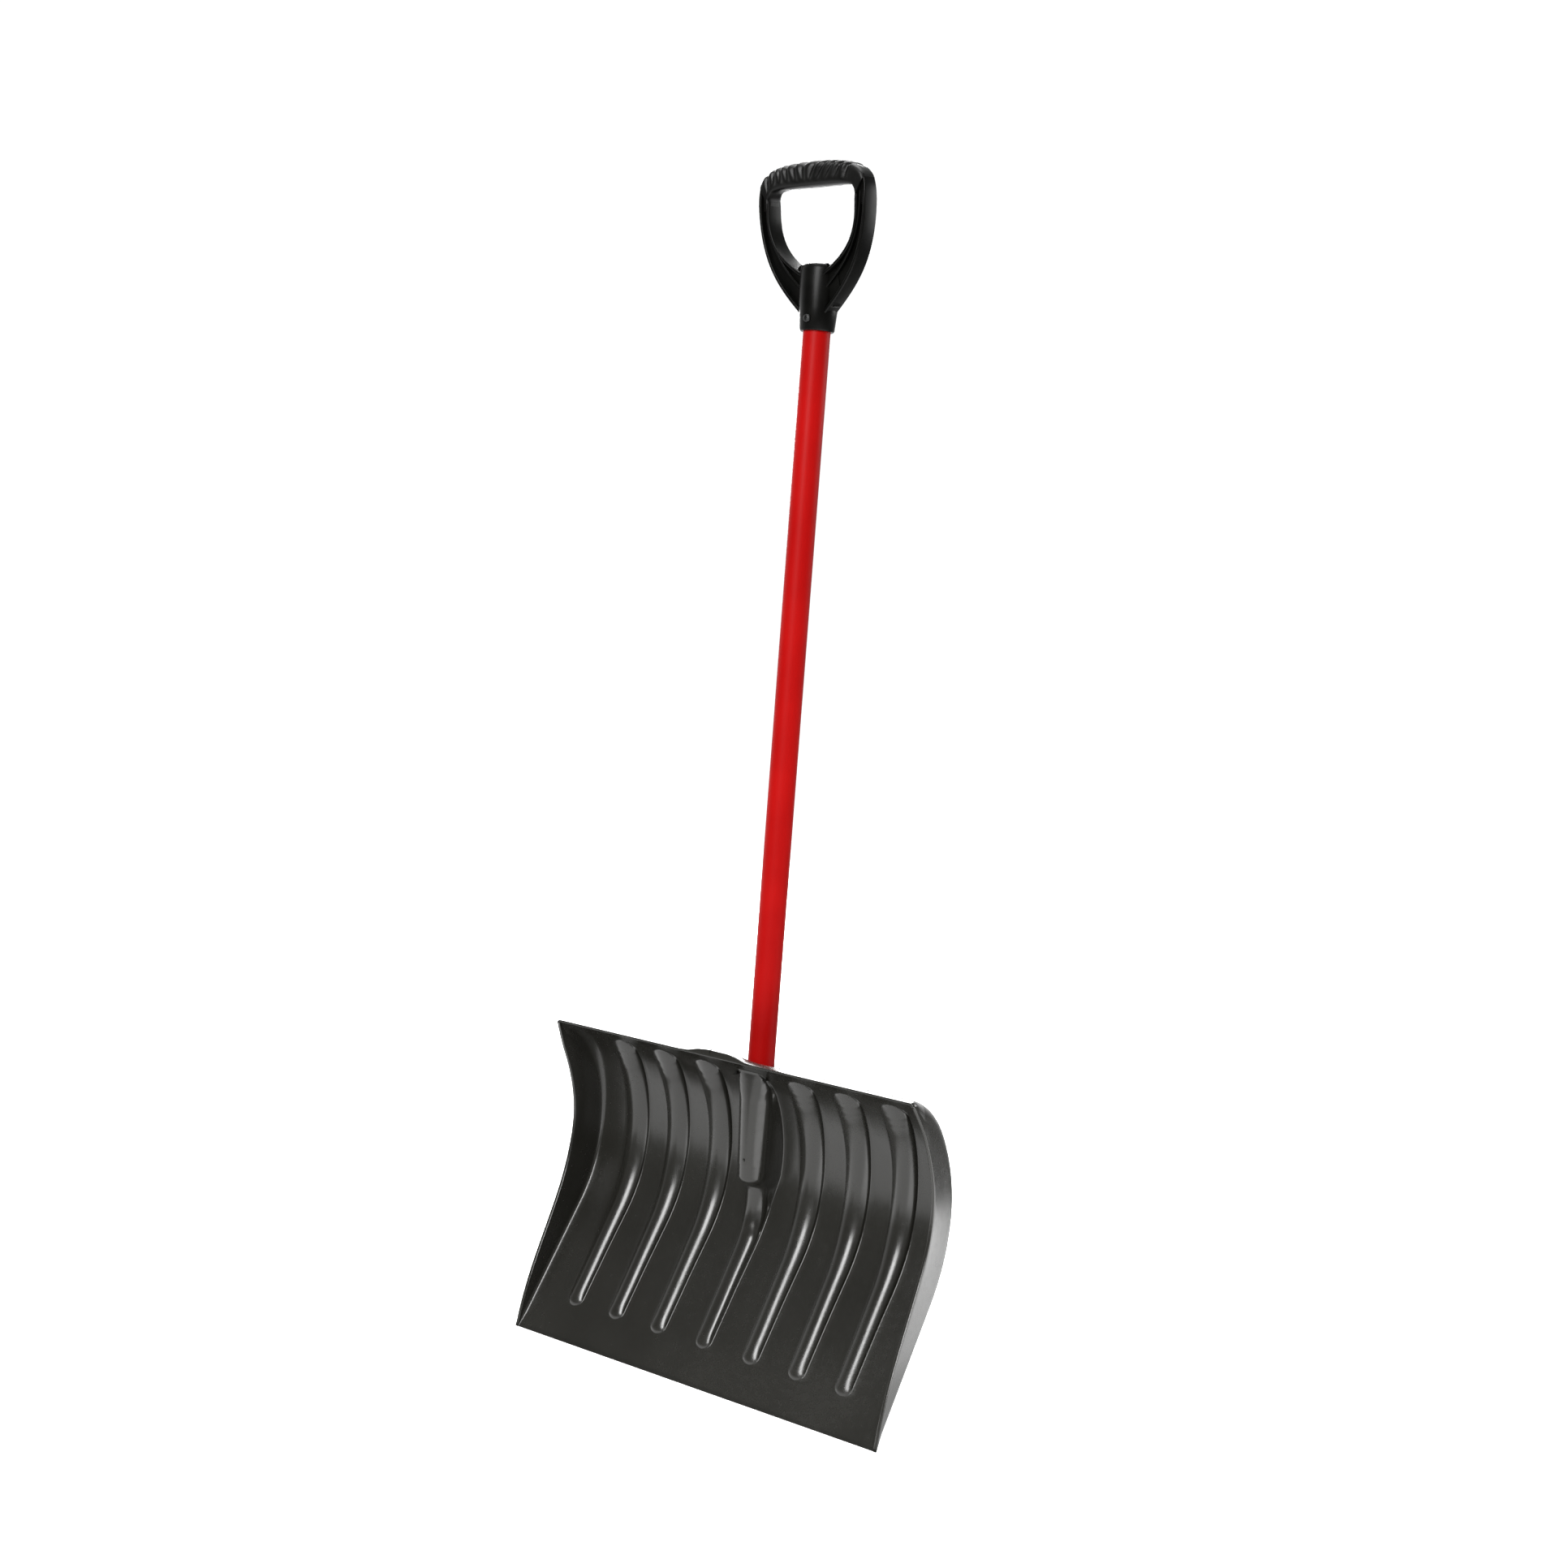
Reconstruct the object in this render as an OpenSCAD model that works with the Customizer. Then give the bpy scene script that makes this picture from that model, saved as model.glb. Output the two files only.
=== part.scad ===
// Snow shovel: a ribbed, curved one-piece plastic blade on a red sleeved steel shaft,
// with a plastic D-grip at the top. Millimetres, +Z up along the shaft, +X to the right
// seen from the front, -Y towards the hollow front of the blade. The shovel stands on its
// scraping edge at z = 0, and the origin is the middle of its box on that plane.

/* [Blade] */
// Overall width of the blade
blade_w = 457; // [400:1:520]
// Thickness of the moulded sheet
sheet_t = 3.6; // [3:0.1:5]
// Lean of the straight lower run away from the shaft's direction, in degrees
lean = 36; // [30:1:42]
// Length of the straight lower run
lower_run = 150; // [120:1:170]
// Radius of the main bend
main_r = 152; // [140:1:165]
// Turn of the main bend, in degrees
main_turn = 67; // [60:1:70]
// Radius of the tighter curl at the top
top_r = 88; // [80:1:95]
// Turn of the top curl, in degrees
top_turn = 54; // [45:1:55]
// How far the rim's crown stands above the rim
crown_h = 6; // [3:0.5:8]

/* [Ribs] */
// Ribs on each side of the middle one
side_ribs = 3; // [2:1:3]
// Distance between two ribs
rib_pitch = 57; // [52:0.1:60]
// Width of a rib
rib_w = 27; // [20:0.5:30]
// Height of a rib above the sheet
rib_h = 9; // [6:0.5:12]

/* [Side wings] */
// How far the side wing reaches forward at its widest, from the scraping edge
wing_front = 73.5; // [60:1:75]
// Height at which the wing's front edge is furthest back
wing_mid_z = 217; // [200:1:230]

/* [Shaft] */
// Distance of the shaft's axis behind the scraping edge
shaft_back = 94; // [90:0.5:98]
// Outer radius of the red sleeve
sleeve_r = 14; // [13.5:0.1:14.5]
// Thickness of the red sleeve
sleeve_t = 0.8; // [0.6:0.1:1]
// Wall of the steel tube
tube_t = 1.1; // [0.9:0.1:1.5]
// Height of the shaft's lower end
shaft_z0 = 200; // [198:1:205]
// Height of the shaft's upper end
shaft_z1 = 1120; // [1110:1:1124]

/* [Socket] */
// Radius of the socket at its mouth
socket_r = 20; // [18.5:0.5:22]
// Radius of the socket at its closed end
socket_end_r = 16.8; // [16.5:0.1:18]
// Height of the socket's mouth
socket_top_z = 316; // [312:1:318]
// Heights of the two socket screws
socket_screw_z = [226, 262];

/* [Grip] */
// Height of the collar's lower edge
collar_z = 1066; // [1060:1:1070]
// Radius of the collar
collar_r = 19.4; // [18:0.2:20]
// Half of the grip's width
grip_half_w = 70.5; // [66:0.5:74]
// Half of the hand gap's width
gap_half_w = 56.2; // [52:0.2:58]
// Height of the grip above the collar
grip_h = 144.5; // [140:0.5:150]
// Height of the hand bar's underside above the collar
bar_low = 119.5; // [115:0.5:122]
// Depth of the arms, front to back
arm_d = 20; // [18:0.5:24]
// Depth of the soft bar, front to back
bar_d = 28; // [26:0.5:32]
// Height above the collar where the soft cover ends
cover_low = 109; // [106:0.5:112]
// Forward rake of the grip, in degrees
grip_rake = 8; // [0:0.5:9]
// Turn of the grip about the shaft, relative to the blade, in degrees
grip_twist = -8; // [-9:0.5:0]

/* [Screws] */
// Radius of the screws' shanks
shank_r = 2; // [1.8:0.1:2.5]
// Radius of the screws' heads
head_r = 4; // [3.5:0.1:4.5]
// Height of the screws' heads
head_h = 2.4; // [2:0.1:3]

/* [Hidden] */
$fn = 64;
eps = 0.01;

// Lengths along the blade's side profile, and its two bend centres, as [y, z]
main_end = lower_run + main_r * main_turn * PI / 180;
profile_end = main_end + top_r * top_turn * PI / 180;
main_c = lower_run * [sin(lean), cos(lean)] - main_r * [cos(lean), -sin(lean)];
top_a = main_turn - lean;
top_c = main_c + (main_r - top_r) * [cos(top_a), sin(top_a)];

// The back of the screw heads is the part's rearmost face, so half of it centres the box
pad_y = main_c[0] + main_r + sheet_t + 0.6;
mid_y = (pad_y + head_h) / 2;

rib_from = 42;
rib_to = profile_end - 40;
rib_ramp = 26;
rib_steps = 40;
profile_steps = 48;

gap_r = 10;
core_inset = 5;
core_d = 14;
collar_top_z = 1086;
cap_z = 1132;
grip_screw_z = 1077;
grip_screw_l = 22;
socket_screw_l = 24;
plug_r = sleeve_r - sleeve_t - tube_t;
tube_r = sleeve_r - sleeve_t;
lower_plug_l = 90;
upper_plug_l = 72;

// A point of the sheet's front face and the angle of its outward normal, at length s
// along the side profile, counted from the scraping edge
function turn_at(s) =
    s < lower_run ? -lean
    : s < main_end ? -lean + (s - lower_run) / main_r * 180 / PI
    : top_a + (s - main_end) / top_r * 180 / PI;
function point_at(s) =
    s < lower_run ? s * [sin(lean), cos(lean)]
    : s < main_end ? main_c + main_r * [cos(turn_at(s)), sin(turn_at(s))]
    : top_c + top_r * [cos(turn_at(s)), sin(turn_at(s))];
function face_at(s, forward) =
    point_at(s) - forward * [cos(turn_at(s)), sin(turn_at(s))];
function reversed(list) = [for (i = [len(list) - 1 : -1 : 0]) list[i]];

// Cubic Bezier curve through the plane
function bezier(a, b, c, d, n) =
    [for (i = [0 : n]) let (t = i / n, u = 1 - t)
        u * u * u * a + 3 * u * u * t * b + 3 * u * t * t * c + t * t * t * d];

// Height of a rib at length s: it ramps up from both ends
function rib_rise(s) =
    rib_h * sin(90 * min(1, (s - rib_from) / rib_ramp, (rib_to - s) / rib_ramp));

// Solid with a (y, z) outline, from x0 to x1
module across(x0, x1) {
    translate([x0, 0, 0])
        rotate([90, 0, 90])
            linear_extrude(x1 - x0)
                children();
}

// Everything at the shaft's axis
module on_shaft() {
    translate([0, shaft_back, 0])
        children();
}

// The sheet's side outline: a straight run, the main bend and the curl, cut flat below
module sheet_outline() {
    lengths = [for (i = [0 : profile_steps]) i * profile_end / profile_steps];
    front = [for (s = lengths) face_at(s, 0)];
    back = [for (s = lengths) if (s > sheet_t) face_at(s, -sheet_t)];
    polygon(concat(front, reversed(back), [[sheet_t / cos(lean), 0]]));
}

// A band that follows the sheet between two heights above its front face
module rib_outline(outer, inner) {
    lengths = [for (i = [0 : rib_steps]) rib_from + i * (rib_to - rib_from) / rib_steps];
    top = [for (s = lengths) face_at(s, rib_rise(s) + outer)];
    bottom = [for (s = lengths) face_at(s, inner)];
    polygon(concat(top, reversed(bottom)));
}

// Side wing: between its curved front edge and the sheet
module wing_outline() {
    rim = face_at(profile_end, 0);
    lower = bezier([0, 0], [15, 85], [wing_front, 145], [wing_front, wing_mid_z], 16);
    upper = bezier([wing_front, wing_mid_z], [wing_front, 255], [52, 290], rim, 12);
    lengths = [for (i = [1 : profile_steps]) i * profile_end / profile_steps];
    back = [for (s = lengths) face_at(s, -sheet_t / 2)];
    polygon(concat(lower, upper, reversed(back), [[sheet_t / cos(lean), 0]]));
}

module rib_fronts() {
    for (i = [-side_ribs : side_ribs])
        across(i * rib_pitch - rib_w / 2, i * rib_pitch + rib_w / 2)
            rib_outline(0, -sheet_t / 2);
}

// The ribs are hollow behind, like the rest of the moulding, except under the socket
module rib_grooves() {
    for (i = [-side_ribs : side_ribs])
        if (i != 0)
            across(i * rib_pitch - rib_w / 2 + sheet_t, i * rib_pitch + rib_w / 2 - sheet_t)
                rib_outline(-sheet_t, -sheet_t - 1);
}

// Socket: a tapered tube with a round closed end, and a housing back to the sheet
module socket() {
    on_shaft() {
        translate([0, 0, shaft_z0])
            cylinder(h = socket_top_z - shaft_z0, r1 = socket_end_r, r2 = socket_r);
        translate([0, 0, shaft_z0])
            sphere(r = socket_end_r);
    }
    across(-socket_end_r, socket_end_r)
        polygon(concat(
            [for (i = [0 : 12]) let (z = 190 + i * 8) [shaft_back, z]],
            reversed([for (i = [0 : 12]) let (z = 190 + i * 8) [sheet_y(z) + 1, z]])));
    for (z = socket_screw_z)
        translate([0, pad_y, z])
            rotate([90, 0, 0])
                cylinder(h = pad_y - shaft_back, r = 8);
}

// How far back the sheet's front face is at a height on the main bend
function sheet_y(z) = main_c[0] + sqrt(main_r * main_r - (z - main_c[1]) * (z - main_c[1]));

// Two webs brace the socket's mouth against the back of the curl
module socket_webs() {
    for (side = [-1, 1])
        across(side * (socket_r - 1) - 1.5, side * (socket_r - 1) + 1.5)
            polygon([[shaft_back - 22, socket_top_z - 6], [shaft_back, socket_top_z - 4],
                     [shaft_back + 16, 262], [sheet_y(250), 250], [sheet_y(282), 282]]);
}

// Low crown in the middle of the rim, as wide as the socket housing below it
module rim_crown() {
    rim = face_at(profile_end, 0);
    translate([-12, rim[0] + sheet_t + 1, 0])
        rotate([90, 0, 0])
            linear_extrude(sheet_t)
                polygon([[-40, rim[1]], [-14, rim[1] + sheet_t + crown_h],
                         [14, rim[1] + sheet_t + crown_h], [40, rim[1]]]);
}

module socket_screw_cuts() {
    for (z = socket_screw_z)
        translate([0, pad_y + eps, z])
            rotate([90, 0, 0])
                cylinder(h = socket_screw_l + eps, r = shank_r);
}

module grip_screw_cut() {
    translate([0, shaft_back - collar_r - 1, grip_screw_z])
        rotate([-90, 0, 0])
            cylinder(h = grip_screw_l + 1, r = shank_r);
}

module shaft_bore(z0, z1) {
    on_shaft()
        translate([0, 0, z0])
            cylinder(h = z1 - z0, r = sleeve_r);
}

module blade() {
    color("#26272a")
        translate([0, -mid_y, 0])
            difference() {
                union() {
                    across(-blade_w / 2, blade_w / 2)
                        sheet_outline();
                    for (side = [-1, 1])
                        across(side * (blade_w - sheet_t) / 2 - sheet_t / 2,
                               side * (blade_w - sheet_t) / 2 + sheet_t / 2)
                            wing_outline();
                    rib_fronts();
                    socket();
                    socket_webs();
                    rim_crown();
                }
                rib_grooves();
                shaft_bore(shaft_z0, socket_top_z + 10);
                socket_screw_cuts();
            }
}

module steel_tube() {
    color("silver")
        translate([0, -mid_y, 0])
            difference() {
                on_shaft()
                    translate([0, 0, shaft_z0])
                        difference() {
                            cylinder(h = shaft_z1 - shaft_z0, r = tube_r);
                            translate([0, 0, -1])
                                cylinder(h = shaft_z1 - shaft_z0 + 2, r = plug_r);
                        }
                socket_screw_cuts();
                grip_screw_cut();
            }
}

module red_sleeve() {
    color("#c01818")
        translate([0, -mid_y, 0])
            difference() {
                on_shaft()
                    translate([0, 0, shaft_z0])
                        difference() {
                            cylinder(h = shaft_z1 - shaft_z0, r = sleeve_r);
                            translate([0, 0, -1])
                                cylinder(h = shaft_z1 - shaft_z0 + 2, r = tube_r);
                        }
                socket_screw_cuts();
                grip_screw_cut();
            }
}

module lower_plug() {
    color("burlywood")
        translate([0, -mid_y, 0])
            difference() {
                on_shaft()
                    translate([0, 0, shaft_z0])
                        cylinder(h = lower_plug_l, r = plug_r);
                socket_screw_cuts();
            }
}

module upper_plug() {
    color("burlywood")
        translate([0, -mid_y, 0])
            difference() {
                on_shaft()
                    translate([0, 0, shaft_z1 - upper_plug_l])
                        cylinder(h = upper_plug_l, r = plug_r);
                grip_screw_cut();
            }
}

// The grip's own plane: x across, y up, origin at the top of the collar
module in_grip(depth) {
    translate([0, shaft_back - mid_y, collar_top_z])
        rotate([0, 0, grip_twist])
            rotate([90 + grip_rake, 0, 0])
                translate([0, 0, -depth / 2])
                    linear_extrude(depth)
                        children();
}

// Right half of the grip's outer edge, from the collar round to the top, drawn in by inset
function grip_edge(inset) = let (w = grip_half_w - inset, h = grip_h - inset) concat(
    bezier([19, 0], [48, 27], [w, 52], [w, 112], 14),
    bezier([w, 112], [w, 138 - inset], [52 - inset, h], [0, h], 12));

// Right half of the hand gap, from the top down to the collar, widened by outset
function gap_edge(outset) = let (w = gap_half_w + outset, h = bar_low + outset) concat(
    [[0, h]],
    [for (a = [90 : -15 : 0]) [w - gap_r + gap_r * cos(a), h - gap_r + gap_r * sin(a)]],
    bezier([w, 100], [w, 72], [46, 56], [18, 40], 12),
    [[0, 40]]);

// Whole outline from its right half
function both_sides(half) = concat(half, reversed([for (p = half) if (p[0] > 0) [-p[0], p[1]]]));

module d_outline(inset, outset) {
    difference() {
        polygon(both_sides(grip_edge(inset)));
        polygon(both_sides(gap_edge(outset)));
    }
}

module above(height) {
    translate([-100, height])
        square([200, 100]);
}

module grip_yoke() {
    color("#151516")
        difference() {
            union() {
                in_grip(arm_d)
                    difference() {
                        d_outline(0, 0);
                        above(cover_low);
                    }
                in_grip(core_d)
                    intersection() {
                        d_outline(core_inset, core_inset - 1);
                        above(cover_low - 1);
                    }
                translate([0, -mid_y, 0])
                    on_shaft()
                        translate([0, 0, collar_z])
                            cylinder(h = collar_top_z + 8 - collar_z, r1 = collar_r - 2.4, r2 = collar_r);
                translate([0, -mid_y, 0])
                    on_shaft()
                        translate([0, 0, collar_top_z])
                            cylinder(h = cap_z - collar_top_z, r = collar_r - 1);
            }
            translate([0, -mid_y, 0]) {
                shaft_bore(collar_z - 1, shaft_z1);
                grip_screw_cut();
            }
        }
}

module grip_cover() {
    color("#1c1c1c")
        difference() {
            in_grip(bar_d)
                intersection() {
                    d_outline(0, 0);
                    above(cover_low);
                }
            in_grip(core_d)
                intersection() {
                    d_outline(core_inset, core_inset - 1);
                    above(cover_low - 1);
                }
        }
}

// Round-headed screw along +Y, its head's underside at y = 0
module screw(length) {
    rotate([-90, 0, 0])
        cylinder(h = length, r = shank_r);
    rotate([90, 0, 0])
        cylinder(h = head_h, r1 = head_r, r2 = head_r * 0.7);
}

module grip_screw() {
    color("silver")
        translate([0, shaft_back - collar_r - mid_y, grip_screw_z])
            screw(grip_screw_l);
}

module socket_screws() {
    color("silver")
        for (z = socket_screw_z)
            translate([0, pad_y - mid_y, z])
                rotate([0, 0, 180])
                    screw(socket_screw_l);
}

blade();
steel_tube();
red_sleeve();
lower_plug();
upper_plug();
grip_yoke();
grip_cover();
grip_screw();
socket_screws();
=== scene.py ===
"""Snow shovel: ribbed moulded blade with side wings, red sleeved shaft and D-grip."""
import math
import bmesh
import bpy
from mathutils import Matrix, Vector


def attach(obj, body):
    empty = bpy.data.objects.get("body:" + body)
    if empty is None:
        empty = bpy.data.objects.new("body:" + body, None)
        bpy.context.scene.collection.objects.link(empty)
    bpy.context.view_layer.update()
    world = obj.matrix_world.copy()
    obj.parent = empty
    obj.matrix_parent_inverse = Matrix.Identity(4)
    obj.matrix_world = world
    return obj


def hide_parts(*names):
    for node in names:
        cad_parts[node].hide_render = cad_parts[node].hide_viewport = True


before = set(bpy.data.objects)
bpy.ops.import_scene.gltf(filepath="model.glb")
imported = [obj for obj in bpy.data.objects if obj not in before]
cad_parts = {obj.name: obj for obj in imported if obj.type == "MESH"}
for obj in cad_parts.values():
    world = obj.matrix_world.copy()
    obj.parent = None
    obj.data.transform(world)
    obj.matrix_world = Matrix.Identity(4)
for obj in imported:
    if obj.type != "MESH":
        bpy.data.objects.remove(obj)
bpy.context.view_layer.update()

# ---------------------------------------------------------------- sizes, millimetres
# Numbers count Y from the scraping edge; MID_Y takes them to the part's frame.
MID_Y = 61.8986

# Blade: a straight lower run, a main curve and a tighter curl to the rim.
BLADE_W = 457.0
SHEET_T = 3.6
LEAN = math.radians(36)
LOWER_RUN = 150.0
MAIN_R = 152.0
MAIN_TURN = math.radians(67)
TOP_R = 88.0
TOP_TURN = math.radians(54)
MAIN_END = LOWER_RUN + MAIN_R * MAIN_TURN
PROFILE_END = MAIN_END + TOP_R * TOP_TURN
TOP_A = MAIN_TURN - LEAN
MAIN_C = (LOWER_RUN * math.sin(LEAN) - MAIN_R * math.cos(LEAN),
          LOWER_RUN * math.cos(LEAN) + MAIN_R * math.sin(LEAN))
TOP_C = (MAIN_C[0] + (MAIN_R - TOP_R) * math.cos(TOP_A),
         MAIN_C[1] + (MAIN_R - TOP_R) * math.sin(TOP_A))

# Side ribs, each side of the middle.
RIB_AT = (59.0, 114.9, 170.2)
RIB_FROM = 40.0
RIB_TO = PROFILE_END - 50
# Half-width and height of a rib by length along the profile, then height by distance from its top.
RIB_WIDE = [(40, 8.8), (70, 9.3), (110, 10.0), (150, 11.4), (200, 13.4), (240, 14.2), (280, 14.5),
            (335, 15.6)]
RIB_HIGH = [(40, 4.6), (80, 5.2), (110, 5.8), (170, 7.4), (240, 8.4), (330, 10.8)]
RIB_END = [(0, 0), (1, 1.0), (4, 2.9), (8, 4.9), (14, 7.3), (22, 9.3), (30, 10.4), (38, 10.8)]
SHOULDER = 0.36     # share of a rib's height at the top of its flank
PINCH = 1.2         # half-width that a rib shrinks to beyond its ends
FILLET = 1.3
RIB_WALL = 2.7

# Wings, rim and foot.
WING_SPREAD = 3.2   # how far a wing's edge leans outwards
WING_FILLET = (4.0, 11.0)   # low down and near the rim
WING_ROUND = 1.1
EDGE_STEPS = 6
FIRST_ROW = 0.95    # the skin's first row, which a rounded end brings down to the floor
FOOT_Z = 0.75
RIM_BEAD = 1.5
CROWN_RISE = 5.2

# Heights between which the middle rib widens and rises into the bulge, and the bulge's crest
# then rounds into the tube over the shaft.
BULGE_WIDENS = (132, 150)
BULGE_RISES = (130, 142)
TUBE_STARTS = (178, 202)

# Steps between the rows of the blade's mesh, by the first zone (from, to, step) that holds:
# short where the ribs start, where the bulge turns into the tube, where the ribs end and up to
# the rim.
ROW_STEP = 3.0
ROW_ZONES = [(RIB_FROM - 2, RIB_FROM + 9, 0.75), (RIB_FROM - 6, RIB_FROM + 28, 1.5),
             (208, 262, 1.5), (PROFILE_END - 62, PROFILE_END - 40, 1.5),
             (RIB_TO - 16, PROFILE_END, 1.1), (RIB_TO - 34, PROFILE_END, 1.8)]

# Shaft, socket and screws.
SHAFT_BACK = 94.0
SHAFT_Y = SHAFT_BACK - MID_Y
PAD_Y = MAIN_C[0] + MAIN_R + SHEET_T + 0.6
SLEEVE_R = 14.0
BORE_R = SLEEVE_R + 0.05
SHAFT_FROM = 200.0
SHAFT_TO = 1120.0
SOCKET_TOP = 316.0
SCREW_Z = (226.0, 262.0)

# Grip: collar heights, then the outlines in the grip's own plane.
COLLAR_Z = 1066.0
COLLAR_R = 19.4
COLLAR_TOP = 1086.0
COLLAR_FRONT = SHAFT_BACK - COLLAR_R
CAP_Z = 1132.0
GRIP_SCREW_Z = 1077.0
GRIP_W = 70.5
GAP_W = 56.2
GRIP_H = 144.5
BAR_LOW = 119.5
COVER_LOW = 109.0
GRIP_RAKE = math.radians(8)
GRIP_TWIST = math.radians(-8)
COVER_START = 50    # of 260 steps along the grip's outer corner
RIDGE_PITCH = 10.6
RIDGE_DEPTH = 2.8
RIDGED_HALF = 62.0

# Camera and studio: millimetres for the lens, metres for the rest.
LENS = 46.584
CAMERA_AT = (1.153, -1.6799, 0.811)
CAMERA_RIGHT = (0.8234, 0.5624, 0.0758)
CAMERA_BACK = (0.5553, -0.826, 0.0967)
FLOOR_HALF = 14.0
DOME_R = 13.0


# ---------------------------------------------------------------- small helpers
def clamp(v, lo=0.0, hi=1.0):
    return max(lo, min(hi, v))


def smooth(a, b, v):
    t = clamp((v - a) / (b - a))
    return t * t * (3 - 2 * t)


def mix(a, b, t):
    return a + (b - a) * t


def table(points, v):
    """Straight-line interpolation in a short list of (position, value) pairs."""
    if v <= points[0][0]:
        return points[0][1]
    for (a, fa), (b, fb) in zip(points, points[1:]):
        if v <= b:
            return mix(fa, fb, (v - a) / (b - a))
    return points[-1][1]


def bezier(a, b, c, d, n):
    """Cubic curve from a to d in n steps."""
    out = []
    for i in range(n + 1):
        t = i / n
        u = 1 - t
        k = (u ** 3, 3 * u * u * t, 3 * u * t * t, t ** 3)
        out.append(tuple(sum(w * p[j] for w, p in zip(k, (a, b, c, d))) for j in (0, 1)))
    return out


def place(x, y, z):
    """Blade millimetres to the part's metres."""
    return (x / 1000, (y - MID_Y) / 1000, z / 1000)


def make(name, verts, faces):
    """New object in the scene from vertices and faces."""
    mesh = bpy.data.meshes.new(name)
    mesh.from_pydata(verts, [], faces)
    mesh.update()
    obj = bpy.data.objects.new(name, mesh)
    bpy.context.scene.collection.objects.link(obj)
    return obj


def bake(obj):
    """Applies every modifier of an object."""
    deps = bpy.context.evaluated_depsgraph_get()
    done = bpy.data.meshes.new_from_object(obj.evaluated_get(deps))
    old = obj.data
    obj.modifiers.clear()
    obj.data = done
    bpy.data.meshes.remove(old)


def fix_normals(obj):
    """Turns every face of a closed mesh outwards."""
    bm = bmesh.new()
    bm.from_mesh(obj.data)
    bmesh.ops.recalc_face_normals(bm, faces=bm.faces)
    bm.to_mesh(obj.data)
    bm.free()


def combine(obj, other, how):
    """Adds or cuts another closed mesh, which is used up."""
    fix_normals(other)
    mod = obj.modifiers.new("combine", "BOOLEAN")
    mod.operation = how
    mod.solver = "MANIFOLD"
    mod.object = other
    bake(obj)
    mesh = other.data
    bpy.data.objects.remove(other)
    bpy.data.meshes.remove(mesh)


def shade(obj, degrees):
    """Smooth shading with sharp edges above an angle."""
    obj.data.shade_smooth()
    obj.data.set_sharp_from_angle(angle=math.radians(degrees))


def number(loops):
    """All points of the loops in one list, and each loop's vertex numbers in it."""
    verts, rings = [], []
    for loop in loops:
        rings.append(list(range(len(verts), len(verts) + len(loop))))
        verts.extend(loop)
    return verts, rings


def skin(rings):
    """Quads between successive closed rings of vertex numbers."""
    faces = []
    for a, b in zip(rings, rings[1:]):
        n = len(a)
        for k in range(n):
            m = (k + 1) % n
            faces.append((a[k], a[m], b[m], b[k]))
    return faces


def lathe(name, profile, to_world, steps=64):
    """Closed solid of (radius, height) points, from the axis round to the axis."""
    verts = [to_world(0, 0, profile[0][1]), to_world(0, 0, profile[-1][1])]
    rings = []
    for r, h in profile[1:-1]:
        ring = []
        for k in range(steps):
            a = 2 * math.pi * k / steps
            ring.append(len(verts))
            verts.append(to_world(r * math.cos(a), r * math.sin(a), h))
        rings.append(ring)
    faces = skin(rings)
    first, last = rings[0], rings[-1]
    for k in range(steps):
        m = (k + 1) % steps
        faces.append((0, first[m], first[k]))
        faces.append((1, last[k], last[m]))
    return make(name, verts, faces)


def prism(name, outline, lo, hi, to_world):
    """Closed solid of a plane outline, from depth lo to depth hi."""
    n = len(outline)
    verts = [to_world(p[0], p[1], lo) for p in outline]
    verts += [to_world(p[0], p[1], hi) for p in outline]
    faces = [tuple(reversed(range(n))), tuple(range(n, 2 * n))]
    faces += [(k, (k + 1) % n, (k + 1) % n + n, k + n) for k in range(n)]
    return make(name, verts, faces)


# ---------------------------------------------------------------- blade
def turn_at(s):
    """Angle of the sheet's profile at length s from the scraping edge."""
    if s < LOWER_RUN:
        return -LEAN
    if s < MAIN_END:
        return -LEAN + (s - LOWER_RUN) / MAIN_R
    return TOP_A + (s - MAIN_END) / TOP_R


def point_at(s):
    """Y and Z of the profile at length s."""
    a = turn_at(s)
    if s < LOWER_RUN:
        return s * math.sin(LEAN), s * math.cos(LEAN)
    c, r = (MAIN_C, MAIN_R) if s < MAIN_END else (TOP_C, TOP_R)
    return c[0] + r * math.cos(a), c[1] + r * math.sin(a)


RIM = point_at(PROFILE_END)
# Side-view curves (Y, Z) of a wing's front edge and of the bulge's crest, then the bulge's
# half-width by height.
WING_EDGE = (bezier((0, 0), (15, 85), (73.5, 145), (73.5, 217), 40)
             + bezier((73.5, 217), (73.5, 254), (54, 289), RIM, 30)[1:])
CENTRE_CREST = [(73.4, 118), (82, 129.8), (86.5, 136.5), (89.8, 142.5), (92, 148), (93.4, 153.5),
                (94.2, 159), (94.6, 164), (94.7, 169), (94.5, 174), (94, 179), (93.1, 184.5),
                (91.5, 188.8), (88, 192), (84, 195), (81, 198.4), (79.4, 202.5), (78.2, 207),
                (77.3, 213), (74.2, 306), (73.9, 330)]
CENTRE_HALF = [(130, 12.0), (137, 12.3), (152, 13.2), (167, 14.6), (183, 17), (200, 20.2),
               (217, 21), (234, 21.5), (271, 21.6), (290, 21.2), (299, 20), (306, 17.6),
               (311, 13.6), (314, 9), (315.6, 4.5), (316.5, PINCH)]


def depth_to(curve, s):
    """Distance from the sheet at s, into the hollow, to a curve in the side view."""
    y, z = point_at(s)
    fy, fz = -math.cos(turn_at(s)), -math.sin(turn_at(s))
    best = None
    for (ay, az), (by, bz) in zip(curve, curve[1:]):
        dy, dz = by - ay, bz - az
        det = fy * -dz + dy * fz
        if abs(det) < 1e-9:
            continue
        d = ((ay - y) * -dz + dy * (az - z)) / det
        t = (fy * (az - z) - fz * (ay - y)) / det
        if -1e-6 <= t <= 1 + 1e-6 and d > 0 and (best is None or d < best):
            best = d
    return best


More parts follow.
